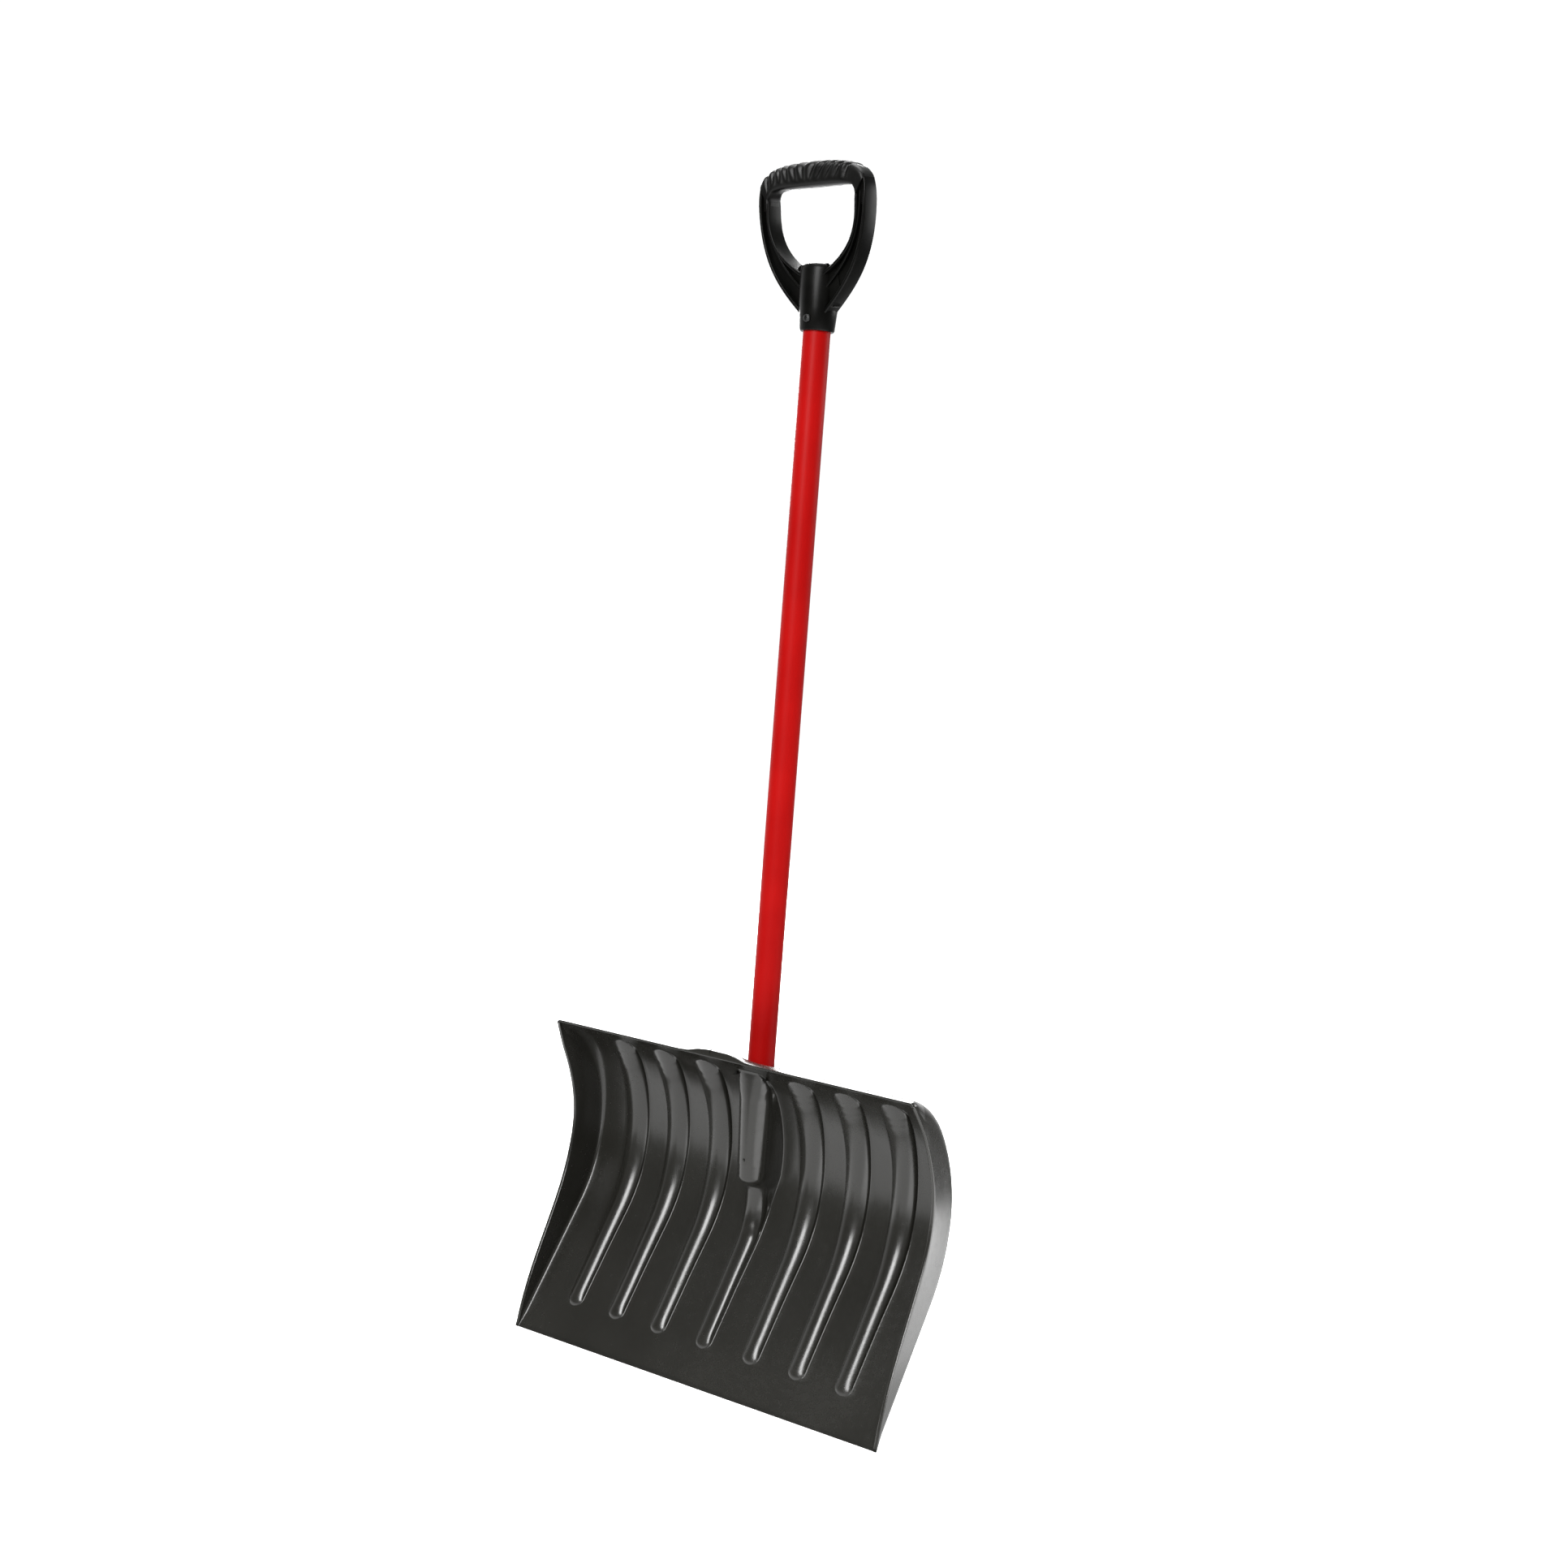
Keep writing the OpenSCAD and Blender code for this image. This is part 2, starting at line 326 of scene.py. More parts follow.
def half_width(s):
    """Half the blade's width at length s, with rounded corners at the rim."""
    edge = clamp((s - PROFILE_END + 12) / 12)
    return BLADE_W / 2 - 4.5 * s / PROFILE_END - 3.0 * (1 - math.sqrt(1 - edge * edge))


def rib_section(s):
    """Half-width and height of a side rib at length s."""
    tip = s - RIB_FROM
    top = RIB_TO - s
    if tip <= 0 or top <= 0:
        return PINCH, 0.0
    half = table(RIB_WIDE, s)
    half *= math.sqrt(1 - (1 - clamp(tip / 8.5)) ** 2)
    half *= math.sqrt(1 - (1 - clamp(top / 14)) ** 2)
    high = min(table(RIB_HIGH, s), table(RIB_END, top))
    high *= math.sin(math.pi / 2 * clamp(tip / 20) ** 0.6)
    return max(PINCH, half), high


def fillet(high):
    """Radius at the foot of a rib, smaller on a low one."""
    return min(FILLET, high * 0.3)


def rib_profile(half, high, k):
    """Point k of 0 to 9 over half a rib, crest to foot: a low crown on a short steep flank."""
    if k == 9:
        return half, fillet(high)
    x = (0, 0.16, 0.32, 0.48, 0.63, 0.77, 0.885, 0.965, 0.997)[k]
    crown_n = SHOULDER + (1 - SHOULDER) * (1 - x * x)
    drop = (0, 0, 0, 0, 0, 0, 0.006, 0.035, 0.12)[k]
    return half * x, max(high * (crown_n - drop), fillet(high))


def centre_section(s):
    """Half-width at the sheet, height, and half-width and height of the rounded crest."""
    half, high = rib_section(s)
    z = point_at(s)[1]
    if z < BULGE_WIDENS[0]:
        return half, high, half * 0.97, high * 0.85
    wide = table(CENTRE_HALF, z)
    if z < BULGE_WIDENS[1]:
        wide = mix(half, wide, smooth(*BULGE_WIDENS, z))
    deep = depth_to(CENTRE_CREST, s) or 0.0
    if wide <= PINCH:
        deep = 0.0
    if z < BULGE_RISES[1]:
        deep = mix(high, deep, smooth(*BULGE_RISES, z))
    crest_z = z - math.sin(turn_at(s)) * deep
    tube = mix(16.8, 19.8, clamp((crest_z - 206) / 100))
    crest = min(wide * 0.97, mix(13.0, tube, smooth(*TUBE_STARTS, crest_z)))
    return wide, deep, crest, min(crest, deep * 0.85)


def arc_steps(n):
    """Angles of a quarter turn in n steps."""
    return [math.pi / 2 * k / n for k in range(n + 1)]


def bulge_points(s, front, back):
    """Adds the right half of the middle bulge to a row and returns where its foot ends."""
    wide, deep, crest, dome = centre_section(s)
    f = fillet(deep)
    wall = max(f, deep - dome)
    for a in arc_steps(14):
        x = crest * math.sin(a)
        front.append((x, wall + (deep - wall) * math.cos(a)))
        back.append((x * 0.98, -SHEET_T))
    for k in range(1, 6):
        t = k / 5
        front.append((mix(crest, wide, t), mix(wall, f, t)))
        back.append((mix(crest * 0.98, wide, t), -SHEET_T))
    for a in arc_steps(3)[1:]:
        x = wide + f * (1 - math.cos(a)) + 1e-3
        front.append((x, f * (1 - math.sin(a))))
        back.append((x, -SHEET_T))
    return wide + f


def rib_points(s, mid, x, front, back):
    """Adds the sheet from x to a side rib and the rib itself, and returns where its foot ends."""
    half, high = rib_section(s)
    f = fillet(high)
    inner_half = max(half - RIB_WALL, 0.5)
    inner_high = high * smooth(0, 3.5, half - RIB_WALL)
    stop = mid - half - f
    for k in range(1, 5):
        front.append((mix(x, stop, k / 5), 0.0))
        back.append((mix(x, mix(stop, mid - inner_half, 0.5), k / 5), -SHEET_T))

    def foot(side, angles):
        for a in angles:
            out = 1 - math.cos(a)
            front.append((mid + side * (half + f * out), f * (1 - math.sin(a))))
            back.append((mid + side * mix(inner_half, half + f, out * 0.6 + 0.2), -SHEET_T))

    foot(-1, reversed(arc_steps(3)))
    for k in range(-8, 9):
        side = math.copysign(1, k)
        across, n = rib_profile(half, high, abs(k))
        front.append((mid + side * across, n))
        across, n = rib_profile(inner_half, inner_high, abs(k))
        back.append((mid + side * across, -SHEET_T + n))
    foot(1, arc_steps(3))
    return mid + half + f


def wing_points(s, x, front, back):
    """Adds the sheet from x to the wing and the wing itself; returns its depth and outer x."""
    outer = half_width(s)
    inner = outer - SHEET_T
    depth = max(1.4, depth_to(WING_EDGE, s) or 0.0)
    r = min(mix(*WING_FILLET, smooth(230, 350, s)), depth * 0.5)
    for k in range(1, 6):
        front.append((mix(x, inner - r, k / 6), 0.0))
        back.append((mix(x, inner - r, k / 6), -SHEET_T))
    for a in arc_steps(6):
        front.append((inner - r + r * math.sin(a), r - r * math.cos(a)))
        back.append((inner - r + (r + SHEET_T) * math.sin(a), r - (r + SHEET_T) * math.cos(a)))
    edge = max(r + 0.05, depth - WING_ROUND)
    spread = min(WING_SPREAD, BLADE_W / 2 - 0.05 - outer)
    spread *= smooth(90, 220, s) * smooth(3, 28, edge)
    for k in range(1, 11):
        n = mix(r, edge, k / 10)
        flare = spread * (n / edge) ** 2
        front.append((inner + flare, n))
        back.append((outer + flare, n))
    return edge, outer + spread


def half_row(s):
    """Right half of a row: front and back (x, n) pairs, and the wing's depth and outer x."""
    front, back = [], []
    x = bulge_points(s, front, back)
    for mid in RIB_AT:
        x = rib_points(s, mid, x, front, back)
    return front, back, *wing_points(s, x, front, back)


def wing_round(edge, outer):
    """(x, n) points over a wing's free edge, from its inside to its outside."""
    points = []
    for k in range(1, EDGE_STEPS):
        a = math.pi * k / EDGE_STEPS
        swing = math.copysign(abs(math.cos(a)) ** 0.6, math.cos(a))
        points.append((outer - SHEET_T / 2 - SHEET_T / 2 * swing,
                       edge + WING_ROUND * abs(math.sin(a)) ** 0.6))
    return points


def crown(x):
    """Share of the rim's crown over the width."""
    return smooth(-54, -27, x) * (1 - smooth(2, 30, x))


def blade_point(x, s, n):
    """Point at x, at length s along the profile and n off the sheet, into the hollow."""
    low = (FOOT_Z - math.sin(LEAN) * n) / math.cos(LEAN)
    s += max(0.0, low - FIRST_ROW) * clamp(1 - (s - FIRST_ROW) / 16)
    y, z = point_at(s)
    a = turn_at(s)
    near = smooth(PROFILE_END - 30, PROFILE_END - 3, s)
    if n < 0:
        n += RIM_BEAD * clamp((s - PROFILE_END + 10) / 9.25) ** 2 - CROWN_RISE * crown(x) * near
    return Vector(place(x, max(0.02, y - n * math.cos(a)), z - n * math.sin(a)))


def row_lengths():
    """Lengths of the mesh's rows, closer together in the zones."""
    out = []
    s = FIRST_ROW
    while s <= PROFILE_END - 0.9:
        out.append(s)
        s += next((step for lo, hi, step in ROW_ZONES if lo < s < hi), ROW_STEP)
    return out + [PROFILE_END - 0.75]


def rounded(loop, middle, out, height):
    """Three rings that round off an end of the skin, shrinking towards its middle line."""
    made = []
    for q, h in ((0.05, 0.45), (0.16, 0.78), (0.36, 1.0)):
        made.append([p + (m - p) * q + out * height * h for p, m in zip(loop, middle)])
    return made


def end_faces(ring, n):
    """Faces that close an end ring, whose front and back rows have n vertices each."""
    side = EDGE_STEPS - 1
    front = ring[:n]
    right = ring[n:n + side]
    back = ring[n + side:2 * n + side][::-1]
    left = ring[2 * n + side:]
    faces = [(front[k], front[k + 1], back[k + 1], back[k]) for k in range(n - 1)]
    return faces + [(front[-1], *right, back[-1]), (back[0], *left, front[0])]


def blade_shell():
    """The sheet with its ribs, bulge, wings and rim as one closed skin."""
    rings, mids = [], []
    for s in row_lengths():
        front, back, edge, outer = half_row(s)
        pairs = [(-f[0], f[1], -b[0], b[1]) for f, b in zip(front[:0:-1], back[:0:-1])]
        pairs += [(f[0], f[1], b[0], b[1]) for f, b in zip(front, back)]
        fore = [blade_point(p[0], s, p[1]) for p in pairs]
        rear = [blade_point(p[2], s, p[3]) for p in pairs]
        tip = wing_round(edge, outer)
        right = [blade_point(x, s, n) for x, n in tip]
        left = [blade_point(-x, s, n) for x, n in tip]
        rings.append(fore + right + rear[::-1] + left[::-1])
        mid = [(f + b) / 2 for f, b in zip(fore, rear)]
        mids.append(mid + [mid[-1]] * len(right) + mid[::-1] + [mid[0]] * len(left))
    end = turn_at(PROFILE_END)
    up = Vector((0, -math.sin(end), math.cos(end))) / 1000
    foot = Vector((0, 0, -1)) / 1000
    loops = rounded(rings[0], mids[0], foot, 0.72)[::-1] + rings
    loops += rounded(rings[-1], mids[-1], up, 0.7)
    verts, numbers = number(loops)
    faces = skin(numbers)
    faces += [tuple(reversed(f)) for f in end_faces(numbers[0], len(fore))]
    faces += end_faces(numbers[-1], len(fore))
    shell = make("blade_shell", verts, faces)
    fix_normals(shell)
    return shell


def up_axis(cx, cy):
    """Lathe axis along Z."""
    return lambda x, y, z: place(cx + x, cy + y, z)


def along_y(cx, cz):
    """Lathe axis along Y: heights become Y."""
    return lambda x, y, h: place(cx + x, h, cz + y)


def side_plane(y, z, x):
    return place(x, y, z)


def socket_solids():
    """Everything that stands off the shell: socket, webs, screw pads and two moulding marks."""
    ball = [(0, SHAFT_FROM - 10.5)]
    ball += [(16.2 * math.sin(a), SHAFT_FROM - 10.5 * math.cos(a)) for a in arc_steps(8)[1:]]
    tube = ball + [(19.4, SOCKET_TOP - 4), (20.0, SOCKET_TOP - 3), (20.2, SOCKET_TOP - 0.8),
                   (19.6, SOCKET_TOP), (0, SOCKET_TOP)]
    solids = [lathe("socket_tube", tube, up_axis(0, SHAFT_BACK))]
    for side in (-1, 1):
        web = [(72, 307), (94, 311), (103, 294), (112.5, 262), (115.5, 248), (110.5, 268),
               (100, 290), (84, 306)]
        x = side * 18.6
        solids.append(prism("socket_web", web, x - 1.5, x + 1.5, side_plane))
    for z in SCREW_Z:
        pad = [(0, SHAFT_BACK), (7.9, SHAFT_BACK), (7.9, PAD_Y - 0.8), (7.1, PAD_Y), (0, PAD_Y)]
        solids.append(lathe("screw_pad", pad, along_y(0, z), 40))
    angles = [math.pi * k / 12 for k in range(1, 12)]
    lump = [(0, -7)] + [(4.6 * math.sin(a), -7 * math.cos(a)) for a in angles] + [(0, 7)]
    solids.append(lathe("rim_lump", lump, lambda x, y, z: place(x - 13, y + 78, z + 316), 24))
    nub = [(0, 75.9), (1.2, 76), (1.7, 77.3), (2.6, 78.7), (3.3, 80.7), (3.4, 87.3), (0, 87.3)]
    solids.append(lathe("gate_nub", nub, along_y(-1.0, 219), 24))
    return solids


def blade_cuts():
    """The shaft's bore, the screw holes and the notch in the rim's crown."""
    bore = [(0, SHAFT_FROM), (BORE_R, SHAFT_FROM), (BORE_R, SOCKET_TOP - 3.5),
            (SLEEVE_R + 0.9, SOCKET_TOP + 14), (0, SOCKET_TOP + 14)]
    cuts = [lathe("bore", bore, up_axis(0, SHAFT_BACK))]
    for z in SCREW_Z:
        hole = [(0, PAD_Y - 24.5), (2, PAD_Y - 24.5), (2, PAD_Y + 2), (0, PAD_Y + 2)]
        cuts.append(lathe("hole", hole, along_y(0, z), 24))
    notch = [(-21.6, 346), (-19.2, 333.2), (-17.6, 346)]
    cuts.append(prism("notch", notch, 8, 48, lambda x, z, y: place(x, y, z)))
    return cuts


def build_blade():
    blade = blade_shell()
    for solid in socket_solids():
        combine(blade, solid, "UNION")
    for cut in blade_cuts():
        combine(blade, cut, "DIFFERENCE")
    blade.name = "blade_moulding"
    shade(blade, 42)
    return blade


# ---------------------------------------------------------------- grip
def in_grip(x, y, z):
    """Grip plane millimetres, z towards the front, to the part's metres."""
    a = math.pi / 2 + GRIP_RAKE
    yy = y * math.cos(a) - z * math.sin(a)
    zz = y * math.sin(a) + z * math.cos(a)
    c, s = math.cos(GRIP_TWIST), math.sin(GRIP_TWIST)
    return ((x * c - yy * s) / 1000, (x * s + yy * c + SHAFT_Y) / 1000, (zz + COLLAR_TOP) / 1000)


def grip_edge():
    """Outer outline of the right arm and bar, from the collar up to the middle."""
    low = bezier((19, 0), (48, 27), (GRIP_W, 52), (GRIP_W, 112), 28)
    return low + bezier((GRIP_W, 112), (GRIP_W, 138), (52, GRIP_H), (0, GRIP_H), 24)[1:]


def gap_edge():
    """Right side of the hand opening, from the collar up to the bar."""
    low = bezier((18, 40), (46, 56), (GAP_W, 72), (GAP_W, 100), 24)
    return low + [(GAP_W, 112)]


def mirrored(points):
    """The same outline on the other side of the middle."""
    return [(-x, y) for x, y in points]


def cut_curve(curve, high):
    """The part of a curve below a height, ending on it."""
    out = []
    for a, b in zip(curve, curve[1:]):
        if a[1] <= high:
            out.append(a)
        if (a[1] <= high) != (b[1] <= high):
            t = (high - a[1]) / (b[1] - a[1])
            out.append((mix(a[0], b[0], t), high))
    if curve[-1][1] <= high:
        out.append(curve[-1])
    return out


def offset(path, distance):
    """The path moved to its right by a distance."""
    out = []
    for k, (x, y) in enumerate(path):
        a, b = path[max(k - 1, 0)], path[min(k + 1, len(path) - 1)]
        dx, dy = b[0] - a[0], b[1] - a[1]
        long = math.hypot(dx, dy)
        out.append((x + dy / long * distance, y - dx / long * distance))
    return out


def strip(name, path, thick, depth, side):
    """Bar of a rounded rectangular section along a path in the grip's plane."""
    loops = []
    r = thick * 0.42
    for low, high in zip(offset(path, -1), offset(path, 1)):
        mid = ((low[0] + high[0]) / 2, (low[1] + high[1]) / 2)
        across = ((high[0] - low[0]) / 2, (high[1] - low[1]) / 2)
        loop = []
        for turn in range(4):
            for a in arc_steps(4):
                a += turn * math.pi / 2
                u = math.cos(a) * r + (thick / 2 - r) * (1 if turn in (0, 3) else -1)
                w = math.sin(a) * r + (depth(mid[1]) / 2 - r) * (1 if turn < 2 else -1)
                loop.append(in_grip(side * (mid[0] + across[0] * u), mid[1] + across[1] * u, w))
        loops.append(loop)
    verts, rings = number(loops)
    faces = skin(rings) + [tuple(rings[0][::-1]), tuple(rings[-1])]
    return make(name, verts, faces)


def arm_depth(y):
    """Front to back depth of an arm's flanges."""
    return 19.6 - 2.6 * smooth(104, 122, y)


def grip_parts():
    """Flanges, middle ribs, webs and feet of both arms, and the bar's core."""
    outer = offset([(10.0, -8.4)] + cut_curve(grip_edge(), 128), -1.9)
    inner = offset([(11.0, 36.0)] + cut_curve(gap_edge(), 110), 1.7)
    rib = bezier((15, 22), (39, 43), (60, 62), (62, 112), 24)
    parts = []
    for side in (-1, 1):
        parts.append(strip("flange_out", outer, 3.4, arm_depth, side))
        parts.append(strip("flange_in", inner, 3.2, arm_depth, side))
        parts.append(strip("rib", rib, 2.4, lambda y: 15.6, side))
        web = outer + inner[::-1]
        foot = [(8, 0), (24, 4), (33, 20), (30, 38), (18, 46), (8, 46)]
        if side < 0:
            web, foot = mirrored(web), mirrored(foot)
        parts.append(prism("web", web, -3.2, 3.2, in_grip))
        parts.append(prism("foot", foot, -4.5, 4.5, in_grip))
    core = [(-GRIP_W + 5, 100), (-GRIP_W + 5, 128), (-46, 139), (46, 139), (GRIP_W - 5, 128),
            (GRIP_W - 5, 100), (GAP_W + 4, 100), (GAP_W + 4, 124), (-GAP_W - 4, 124),
            (-GAP_W - 4, 100)]
    parts.append(prism("core", core, -6.6, 6.6, in_grip))
    return parts


def build_yoke():
    """The collar's boss, joined with the arms, then bored for the shaft and the screw."""
    boss = [(0, COLLAR_Z), (16.6, COLLAR_Z), (17.6, COLLAR_Z + 1.2), (19.3, COLLAR_TOP + 2),
            (20.0, COLLAR_TOP + 8), (20.7, COLLAR_TOP + 20), (21.0, CAP_Z - 7),
            (20.4, CAP_Z - 3.2), (19.2, CAP_Z - 1.8), (17.0, CAP_Z - 0.9), (10, CAP_Z - 0.2),
            (0, CAP_Z)]
    yoke = lathe("boss", boss, up_axis(0, SHAFT_BACK), 96)
    fix_normals(yoke)
    for part in grip_parts():
        combine(yoke, part, "UNION")
    bore = [(0, COLLAR_Z - 5), (BORE_R, COLLAR_Z - 5), (BORE_R, SHAFT_TO), (0, SHAFT_TO)]
    cuts = [lathe("bore", bore, up_axis(0, SHAFT_BACK))]
    front = COLLAR_FRONT - 2
    hole = [(0, front), (2, front), (2, front + 24), (0, front + 24)]
    cuts.append(lathe("hole", hole, along_y(0, GRIP_SCREW_Z), 24))
    for cut in cuts:
        combine(yoke, cut, "DIFFERENCE")
    yoke.name = "grip_yoke_moulding"
    shade(yoke, 38)
    return yoke


def cover_path():
    """Pairs of outer and inner points of the cover's right half, from its end to the middle."""
    pairs = []
    steps = 26
    turn_r = 10
    fine = bezier((GRIP_W, 112), (GRIP_W, 138), (52, GRIP_H), (0, GRIP_H), 260)
    outer = fine[COVER_START:]
    for k in range(steps + 1):
        t = k / steps
        x, y = outer[round((len(outer) - 1) * t)]
        a = smooth(0.06, 0.66, t) * math.pi / 2
        corner = (GAP_W - turn_r * (1 - math.cos(a)), BAR_LOW - turn_r * (1 - math.sin(a)))
        slide = smooth(0.38, 1, t)
        pairs.append(((x, y), (corner[0] * (1 - slide), corner[1])))
    return pairs


def cover_rail():
    """Pairs of outer and inner points along the whole cover, left end to right end."""
    right = cover_path()
    right = [(right[0][0], (GAP_W, COVER_LOW - 4.0))] + right
    dense = []
    for (o1, i1), (o2, i2) in zip(right, right[1:]):
        for t in (0, 0.25, 0.5, 0.75):
            dense.append(((mix(o1[0], o2[0], t), mix(o1[1], o2[1], t)),
                          (mix(i1[0], i2[0], t), mix(i1[1], i2[1], t))))
    dense.append(right[-1])
    return [((-o[0], o[1]), (-i[0], i[1])) for o, i in dense] + dense[-2::-1]


def between(pair):
    """The point halfway between the two of a pair."""
    (ox, oy), (ix, iy) = pair
    return (ox + ix) / 2, (oy + iy) / 2


def cover_ring(pair, here, total):
    """Superellipse ring of the cover at length here of total, with its slanting grooves."""
    (ox, oy), (ix, iy) = pair
    mid = between(pair)
    span = math.hypot(ox - ix, oy - iy)
    ux, uy = (ox - ix) / span, (oy - iy) / span
    from_end = min(here, total - here)
    deep = mix(10.6, 13.9, smooth(8, 46, from_end))
    power = mix(0.42, 0.6, smooth(4, 40, from_end))
    around = 72
    ring = []
    for j in range(around):
        v = 2 * math.pi * j / around
        c, s = math.cos(v), math.sin(v)
        rad = span / 2 * math.copysign(abs(c) ** power, c)
        dep = deep * math.copysign(abs(s) ** power, s)
        along = here - total / 2 + dep * 0.42 + (span / 2 - rad) * 0.1
        inside = smooth(0, 7, RIDGED_HALF - abs(along))
        wave = 0.5 + 0.5 * math.cos(2 * math.pi * along / RIDGE_PITCH)
        groove = RIDGE_DEPTH * wave ** 1.6 * inside * smooth(-0.45, 0.3, c)
        rad -= groove * max(0.0, c)
        dep -= groove * s * 0.9
        ring.append(in_grip(mid[0] + ux * rad, mid[1] + uy * rad, dep))
    return ring


def build_cover():
    rail = cover_rail()
    lengths = [0.0]
    for a, b in zip(rail, rail[1:]):
        lengths.append(lengths[-1] + math.dist(between(a), between(b)))
    loops = [cover_ring(pair, here, lengths[-1]) for pair, here in zip(rail, lengths)]
    verts, rings = number(loops)
    faces = skin(rings) + [tuple(rings[0][::-1]), tuple(rings[-1])]
    cover = make("grip_cover_sleeve", verts, faces)
    fix_normals(cover)
    shade(cover, 50)
    return cover


# ---------------------------------------------------------------- screws
def screw(name, to_world, length):
    """Pan head screw with a cross recess; heights run from the tip to the head."""
    head = [(0, -length), (1.2, -length + 1.2), (1.95, -length + 3)]
    head += [(1.95, 0), (3.9, 0), (3.95, 0.5), (3.75, 1.2), (3.1, 1.9), (2.0, 2.3), (0, 2.38)]
    body = lathe(name, head, to_world, 40)
    fix_normals(body)
    for turn in (0, 1):
        slot = [(-1.9, -0.42), (1.9, -0.42), (1.9, 0.42), (-1.9, 0.42)]
        if turn:
            slot = [(y, x) for x, y in slot]
        combine(body, prism("slot", slot, 1.2, 3.0, to_world), "DIFFERENCE")
    shade(body, 40)
    return body


# ---------------------------------------------------------------- materials
def nodes_of(name):
    """A new material, its tree, its shader and the object's own coordinates."""
    mat = bpy.data.materials.new(name)
    mat.use_nodes = True
    tree = mat.node_tree
    shader = tree.nodes["Principled BSDF"]
    coords = tree.nodes.new("ShaderNodeTexCoord").outputs["Object"]
    return mat, tree, shader, coords


def noise(tree, coords, scale, detail, stretch=None, rough=0.5):
    """Noise value, finer with a higher scale and drawn out along axes scaled below 1."""
    if stretch:
        mapping = tree.nodes.new("ShaderNodeMapping")
        mapping.inputs["Scale"].default_value = stretch
        tree.links.new(coords, mapping.inputs["Vector"])
        coords = mapping.outputs["Vector"]
    tex = tree.nodes.new("ShaderNodeTexNoise")
    tex.inputs["Scale"].default_value = scale
    tex.inputs["Detail"].default_value = detail
    tex.inputs["Roughness"].default_value = rough
    tree.links.new(coords, tex.inputs["Vector"])
    return tex.outputs["Fac"]


def ramp(tree, value, lo, hi, a, b):
    """Maps lo..hi to a..b, held at the ends."""
    node = tree.nodes.new("ShaderNodeMapRange")
    node.inputs["From Min"].default_value = lo
    node.inputs["From Max"].default_value = hi
    node.inputs["To Min"].default_value = a
    node.inputs["To Max"].default_value = b
    tree.links.new(value, node.inputs["Value"])
    return node.outputs["Result"]


def blend_colours(tree, factor, one, two):
    node = tree.nodes.new("ShaderNodeMix")
    node.data_type = "RGBA"
    tree.links.new(factor, node.inputs["Factor"])
    for socket, value in ((node.inputs[6], one), (node.inputs[7], two)):
        socket.default_value = (*value, 1)
    return node.outputs[2]


def mottle(tree, pattern, one, two):
    """Colour that drifts between two shades with a noise."""
    return blend_colours(tree, ramp(tree, pattern, 0.35, 0.65, 0, 1), one, two)


def bump(tree, height, strength, distance, under=None):
    """Normal from a height, on top of another bump."""
    node = tree.nodes.new("ShaderNodeBump")
    node.inputs["Strength"].default_value = strength
    node.inputs["Distance"].default_value = distance
    tree.links.new(height, node.inputs["Height"])
    if under:
        tree.links.new(under, node.inputs["Normal"])
    return node.outputs["Normal"]


def plus(tree, a, b):
    """Sum of two sockets."""
    node = tree.nodes.new("ShaderNodeMath")
    node.operation = "ADD"
    tree.links.new(a, node.inputs[0])
    tree.links.new(b, node.inputs[1])
    return node.outputs[0]


def blade_plastic():
    mat, tree, shader, coords = nodes_of("blade_plastic")
    clouds = noise(tree, coords, 9, 4)
    scuffs = noise(tree, coords, 160, 5, rough=0.6)
    tone = mottle(tree, clouds, (0.0105, 0.0102, 0.0084), (0.0140, 0.0136, 0.0115))
    tree.links.new(tone, shader.inputs["Base Color"])
    gloss = plus(tree, ramp(tree, clouds, 0.3, 0.7, 0.2, 0.27),
                 ramp(tree, scuffs, 0.45, 0.75, 0.0, 0.06))
    tree.links.new(gloss, shader.inputs["Roughness"])
    shader.inputs["Specular IOR Level"].default_value = 0.5
    fine = bump(tree, noise(tree, coords, 500, 2), 0.1, 0.00005)
    broad = bump(tree, noise(tree, coords, 24, 2), 0.25, 0.0004, fine)
    tree.links.new(broad, shader.inputs["Normal"])
    return mat


def red_plastic():
    mat, tree, shader, coords = nodes_of("red_plastic")
    streaks = noise(tree, coords, 120, 4, stretch=(1, 1, 0.04))
    clouds = noise(tree, coords, 14, 3)
    tone = mottle(tree, clouds, (0.275, 0.0024, 0.0022), (0.32, 0.0034, 0.003))
    tree.links.new(tone, shader.inputs["Base Color"])
    tree.links.new(ramp(tree, streaks, 0.3, 0.7, 0.38, 0.48), shader.inputs["Roughness"])
    shader.inputs["Specular IOR Level"].default_value = 0.06
    fine = bump(tree, noise(tree, coords, 1200, 2), 0.25, 0.00006)
    draw = bump(tree, streaks, 0.3, 0.0001, fine)
    tree.links.new(draw, shader.inputs["Normal"])
    return mat


def grip_plastic():
    mat, tree, shader, coords = nodes_of("grip_plastic")
    clouds = noise(tree, coords, 40, 4)
    tone = mottle(tree, clouds, (0.0014, 0.0014, 0.0012), (0.0024, 0.0024, 0.0020))
    tree.links.new(tone, shader.inputs["Base Color"])
    shader.inputs["Specular IOR Level"].default_value = 0.11
    tree.links.new(ramp(tree, clouds, 0.3, 0.7, 0.3, 0.4), shader.inputs["Roughness"])
    fine = bump(tree, noise(tree, coords, 700, 2), 0.15, 0.00005)
    tree.links.new(fine, shader.inputs["Normal"])
    return mat


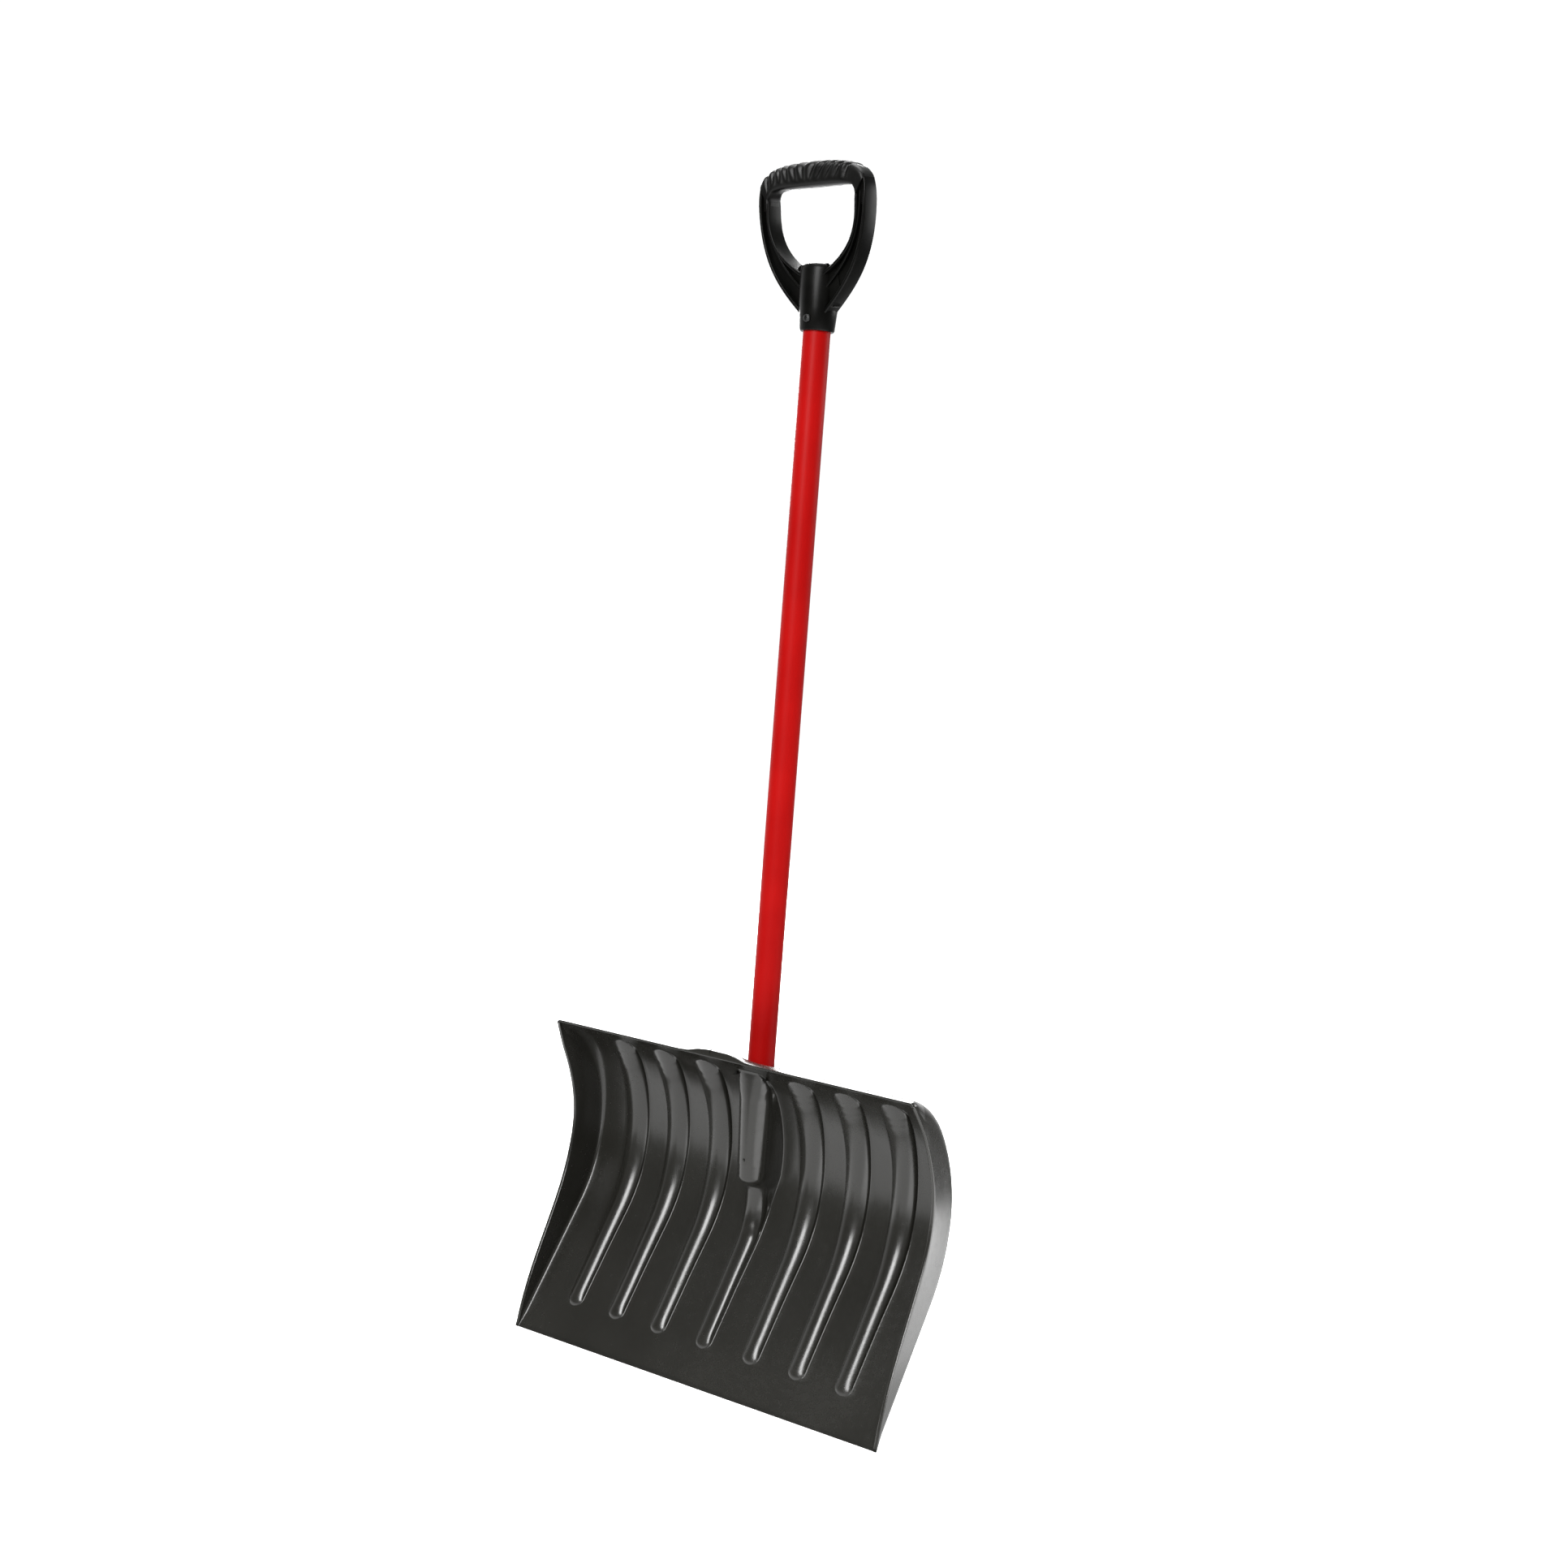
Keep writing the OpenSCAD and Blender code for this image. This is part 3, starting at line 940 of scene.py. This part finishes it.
def grip_soft():
    mat, tree, shader, coords = nodes_of("grip_soft")
    clouds = noise(tree, coords, 60, 4)
    grain = noise(tree, coords, 1500, 3)
    tone = mottle(tree, clouds, (0.0015, 0.0015, 0.0013), (0.0026, 0.0026, 0.0022))
    tree.links.new(tone, shader.inputs["Base Color"])
    shader.inputs["Specular IOR Level"].default_value = 0.2
    tree.links.new(ramp(tree, clouds, 0.3, 0.7, 0.34, 0.44), shader.inputs["Roughness"])
    tree.links.new(bump(tree, grain, 0.5, 0.00015), shader.inputs["Normal"])
    return mat


def metal(name, colour, rough, stretch):
    """Drawn metal whose fine lines vary colour, roughness and bump."""
    mat, tree, shader, coords = nodes_of(name)
    lines = noise(tree, coords, 300, 4, stretch=stretch)
    dark = tuple(c * 0.75 for c in colour)
    tone = blend_colours(tree, ramp(tree, lines, 0.3, 0.7, 0, 1), dark, colour)
    tree.links.new(tone, shader.inputs["Base Color"])
    shader.inputs["Metallic"].default_value = 1.0
    tree.links.new(ramp(tree, lines, 0.3, 0.7, rough * 0.8, rough * 1.3),
                   shader.inputs["Roughness"])
    tree.links.new(bump(tree, lines, 0.2, 0.00005), shader.inputs["Normal"])
    return mat


def wood():
    mat, tree, shader, coords = nodes_of("wood")
    grain = noise(tree, coords, 160, 6, stretch=(1, 1, 0.06), rough=0.6)
    tone = mottle(tree, grain, (0.30, 0.17, 0.075), (0.52, 0.35, 0.18))
    tree.links.new(tone, shader.inputs["Base Color"])
    tree.links.new(ramp(tree, grain, 0.3, 0.7, 0.5, 0.7), shader.inputs["Roughness"])
    tree.links.new(bump(tree, grain, 0.4, 0.0003), shader.inputs["Normal"])
    return mat


def paint(obj, mat):
    obj.data.materials.clear()
    obj.data.materials.append(mat)


# ---------------------------------------------------------------- studio
def floor_material():
    mat, tree, shader, coords = nodes_of("studio_floor")
    clouds = noise(tree, coords, 3, 2)
    tone = blend_colours(tree, clouds, (0.80, 0.80, 0.80), (0.82, 0.82, 0.82))
    tree.links.new(tone, shader.inputs["Base Color"])
    shader.inputs["Roughness"].default_value = 0.9
    shader.inputs["Specular IOR Level"].default_value = 0.0
    shader.inputs["Emission Color"].default_value = (1, 1, 1, 1)
    shader.inputs["Emission Strength"].default_value = 0.8
    return mat


def glow_material():
    mat = bpy.data.materials.new("studio_dome")
    mat.use_nodes = True
    tree = mat.node_tree
    tree.nodes.clear()
    out = tree.nodes.new("ShaderNodeOutputMaterial")
    glow = tree.nodes.new("ShaderNodeEmission")
    glow.inputs["Strength"].default_value = 1.05
    tree.links.new(glow.outputs[0], out.inputs["Surface"])
    return mat


def studio():
    """Pale floor and backdrop, seen by the camera but kept out of reflections."""
    corners = [(x * FLOOR_HALF, y * FLOOR_HALF, 0) for x, y in ((-1, -1), (1, -1), (1, 1), (-1, 1))]
    floor = make("studio_floor", corners, [(0, 1, 2, 3)])
    paint(floor, floor_material())
    dome_profile = [(DOME_R * math.cos(a), DOME_R * math.sin(a)) for a in arc_steps(16)]
    around = 48
    angles = [2 * math.pi * k / around for k in range(around)]
    verts, rings = number([[(r * math.cos(a), r * math.sin(a), h - 0.02) for a in angles]
                           for r, h in dome_profile[:-1]])
    faces = skin(rings)
    verts.append((0, 0, DOME_R))
    top = rings[-1]
    faces += [(top[k], top[(k + 1) % around], len(verts) - 1) for k in range(around)]
    dome = make("studio_dome", verts, faces)
    paint(dome, glow_material())
    for obj in (floor, dome):
        obj.visible_glossy = False
        obj.visible_diffuse = False
        obj.visible_transmission = False
    dome.visible_shadow = False


def area_light(name, where, aim, size_x, size_y, radiance):
    """Rectangular light whose first side lies as nearly as it can along X."""
    light = bpy.data.lights.new(name, "AREA")
    light.shape = "RECTANGLE"
    light.size = size_x
    light.size_y = size_y
    light.energy = radiance * math.pi * size_x * size_y
    obj = bpy.data.objects.new(name, light)
    bpy.context.scene.collection.objects.link(obj)
    back = (Vector(where) - Vector(aim)).normalized()
    along = Vector((1, 0, 0))
    right = (along - back * along.dot(back)).normalized()
    turn = Matrix((right, back.cross(right), back)).transposed().to_4x4()
    obj.matrix_world = Matrix.Translation(where) @ turn
    obj.visible_camera = False


def flat_card(name, x0, x1, y0, y1, radiance):
    """Bright card lying on the floor, facing up."""
    middle = Vector(((x0 + x1) / 2, (y0 + y1) / 2, 0.003))
    area_light(name, middle, middle + Vector((0, 0, 1)), x1 - x0, y1 - y0, radiance)


def sky():
    """World light that is stronger from behind on the left."""
    world = bpy.data.worlds.new("studio")
    world.use_nodes = True
    tree = world.node_tree
    back = tree.nodes["Background"]
    back.inputs["Color"].default_value = (1, 1, 1, 1)
    coords = tree.nodes.new("ShaderNodeTexCoord").outputs["Generated"]
    facing = tree.nodes.new("ShaderNodeVectorMath")
    facing.operation = "DOT_PRODUCT"
    facing.inputs[1].default_value = (-0.8, 0.6, 0.0)
    tree.links.new(coords, facing.inputs[0])
    tree.links.new(ramp(tree, facing.outputs["Value"], 0.3, 0.8, 0.2, 1.3),
                   back.inputs["Strength"])
    bpy.context.scene.world = world


def lights():
    hub = Vector((0, 0, 0.3))
    area_light("key", hub + Vector((0.176, -0.83, 0.53)) * 3.2, hub, 1.1, 2.0, 20.0)
    area_light("side_card", (1.35, 1.95, 1.5), (0, 0, 1.1), 1.0, 0.8, 8.5)
    area_light("top_card", (-0.1, 0.1, 2.9), (0, 0, 1.2), 1.5, 1.5, 9.0)
    area_light("back_card", hub + Vector((-0.54, 0.68, 0.48)).normalized() * 3.6, hub, 2.4, 1.8,
               17.0)
    flat_card("floor_card", -1.05, 0.32, -0.70, 0.42, 1.65)
    flat_card("floor_front", -0.35, 1.1, -1.25, -0.70, 1.8)
    flat_card("floor_right", 0.32, 1.25, -0.70, 0.72, 3.6)


def camera():
    data = bpy.data.cameras.new("camera")
    data.sensor_width = 36
    data.lens = LENS
    obj = bpy.data.objects.new("camera", data)
    bpy.context.scene.collection.objects.link(obj)
    right = Vector(CAMERA_RIGHT).normalized()
    back = Vector(CAMERA_BACK).normalized()
    up = back.cross(right).normalized()
    right = up.cross(back)
    turn = Matrix((right, up, back)).transposed().to_4x4()
    obj.matrix_world = Matrix.Translation(CAMERA_AT) @ turn
    bpy.context.scene.camera = obj


# ---------------------------------------------------------------- assembly
def fit(obj, mat, node):
    """Paints a piece and puts it in place of a CAD node."""
    paint(obj, mat)
    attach(obj, "root")
    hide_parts(node)


def main():
    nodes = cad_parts
    fit(build_blade(), blade_plastic(), "blade")
    fit(build_yoke(), grip_plastic(), "grip_yoke")
    fit(build_cover(), grip_soft(), "grip_cover")
    steel = metal("screw_steel", (0.05, 0.05, 0.05), 0.45, (1, 1, 1))
    one = screw("grip_screw_detail",
                lambda x, y, h: place(x, COLLAR_FRONT - h, GRIP_SCREW_Z + y), 22)
    fit(one, steel, "grip_screw")
    for k, z in enumerate(SCREW_Z):
        item = screw("socket_screw_%d" % (k + 1), lambda x, y, h: place(x, PAD_Y + h, z + y), 24)
        fit(item, steel, "socket_screws")
    paint(nodes["red_sleeve"], red_plastic())
    paint(nodes["steel_tube"], metal("steel", (0.55, 0.56, 0.57), 0.25, (1, 1, 0.05)))
    plug = wood()
    paint(nodes["lower_plug"], plug)
    paint(nodes["upper_plug"], plug)
    studio()
    sky()
    lights()
    camera()
    bpy.context.scene.view_settings.view_transform = "Standard"


main()
